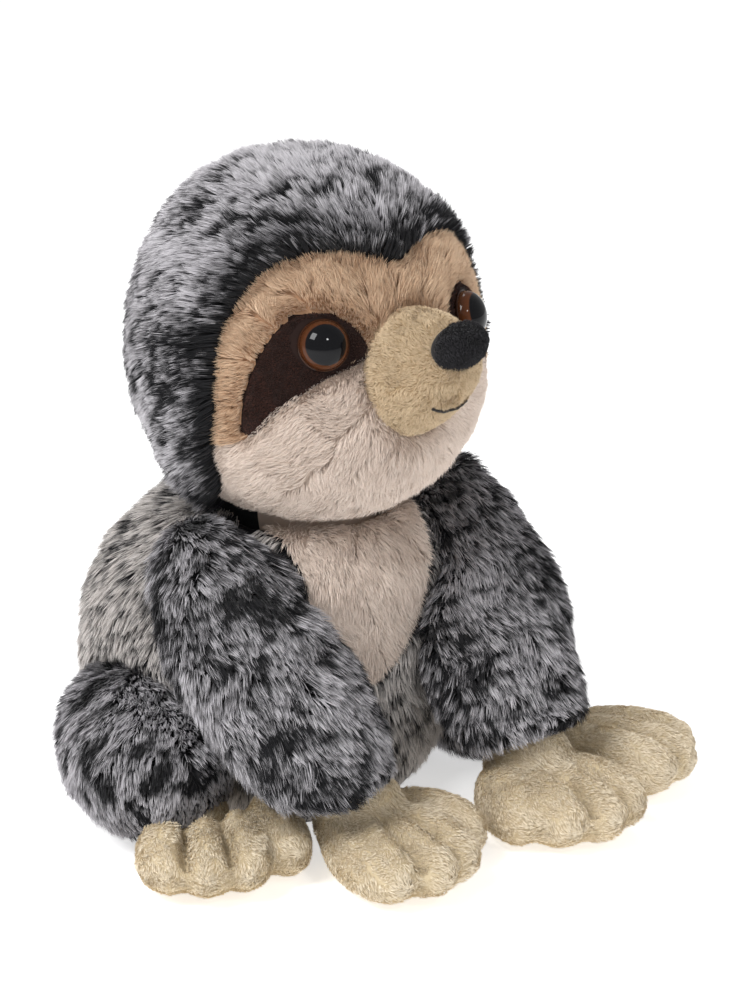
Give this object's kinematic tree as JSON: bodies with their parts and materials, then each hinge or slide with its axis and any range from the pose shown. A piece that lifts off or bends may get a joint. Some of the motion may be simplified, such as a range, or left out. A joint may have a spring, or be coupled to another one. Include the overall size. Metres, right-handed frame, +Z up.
{
  "type": "plush sloth",
  "caption": "Seated soft toy sloth with a frosted grey fur hood and body, tan and cream face, brown eye patches, black nose and sand-coloured mitten paws.",
  "frame": {"origin": "centre of the toy's bounding box, on the surface that it sits on", "axes": "+Z up; the toy faces -Y, and its own right side is at -X"},
  "size_m": [0.183, 0.1676, 0.1945],
  "materials": {
    "grey_fur": "long frosted grey pile, near-black at the roots",
    "tan_plush": "short tan plush",
    "cream_plush": "short cream plush",
    "brown_velboa": "very short dark brown velboa",
    "khaki_plush": "short curly beige plush",
    "black_plush": "very short black plush",
    "black_thread": "black embroidery thread",
    "eye_plastic": "domed brown safety eye with a black pupil",
    "washer_plastic": "natural white plastic",
    "fibre": "white polyester fibre",
    "pellet_cloth": "plain woven bag of plastic pellets",
    "sand_plush": "short sand-beige plush"
  },
  "bodies": {
    "torso": {"back_fur": "grey_fur", "bib_panel": "cream_plush", "base_panel": "grey_fur", "pellet_bag": "pellet_cloth", "torso_stuffing": "fibre"},
    "neck": {"neck_stuffing": "fibre"},
    "head": {"hood_fur": "grey_fur", "forehead_panel": "tan_plush", "head_stuffing": "fibre", "cheek_right": "cream_plush", "cheek_left": "cream_plush", "eye_patch_right": "brown_velboa", "eye_patch_left": "brown_velboa", "eye_right": "eye_plastic", "eye_left": "eye_plastic", "lock_washer_right": "washer_plastic", "lock_washer_left": "washer_plastic", "muzzle_panel": "khaki_plush", "muzzle_stuffing": "fibre", "nose_pad": "black_plush", "mouth_stitch": "black_thread"},
    "arm_right": {"sleeve_right": "grey_fur", "arm_stuffing_right": "fibre"},
    "hand_right": {"hand_right": "sand_plush", "hand_right_stuffing": "fibre"},
    "leg_right": {"leg_fur_right": "grey_fur", "leg_stuffing_right": "fibre", "foot_right": "sand_plush", "foot_right_stuffing": "fibre"},
    "arm_left": {"sleeve_left": "grey_fur", "arm_stuffing_left": "fibre"},
    "hand_left": {"hand_left": "sand_plush", "hand_left_stuffing": "fibre"},
    "leg_left": {"leg_fur_left": "grey_fur", "leg_stuffing_left": "fibre", "foot_left": "sand_plush", "foot_left_stuffing": "fibre"}
  },
  "joints": [
    {"name": "head_turn", "type": "hinge", "parent": "torso", "child": "neck", "pos_m": [-0.00525, 0.01517, 0.095], "axis": [0, 0, 1], "range_deg": [-24, 24], "stiffness_Nm_per_rad": 0.05},
    {"name": "head_tilt_back", "type": "hinge", "parent": "neck", "child": "head", "pos_m": [-0.00525, 0.01517, 0.095], "axis": [-1, 0, 0], "range_deg": [0, 10]},
    {"name": "arm_right_lift", "type": "hinge", "parent": "torso", "child": "arm_right", "pos_m": [-0.04925, -0.00083, 0.08], "axis": [-0.9063, 0.4226, 0], "range_deg": [0, 50]},
    {"name": "hand_right_flex", "type": "hinge", "parent": "arm_right", "child": "hand_right", "pos_m": [-0.02925, -0.04083, 0.0135], "axis": [-1, 0, 0], "range_deg": [0, 30]},
    {"name": "leg_right_splay", "type": "hinge", "parent": "torso", "child": "leg_right", "pos_m": [-0.05525, 0.02717, 0.026], "axis": [0, 0, -1], "range_deg": [0, 30], "stiffness_Nm_per_rad": 0.05},
    {"name": "arm_left_lift", "type": "hinge", "parent": "torso", "child": "arm_left", "pos_m": [0.03875, -0.00083, 0.08], "axis": [-0.9063, -0.4226, 0], "range_deg": [0, 50]},
    {"name": "hand_left_flex", "type": "hinge", "parent": "arm_left", "child": "hand_left", "pos_m": [0.03075, -0.04483, 0.0135], "axis": [-1, 0, 0], "range_deg": [0, 30]},
    {"name": "leg_left_splay", "type": "hinge", "parent": "torso", "child": "leg_left", "pos_m": [0.04475, 0.02717, 0.026], "axis": [0, 0, 1], "range_deg": [0, 30], "stiffness_Nm_per_rad": 0.05}
  ]
}
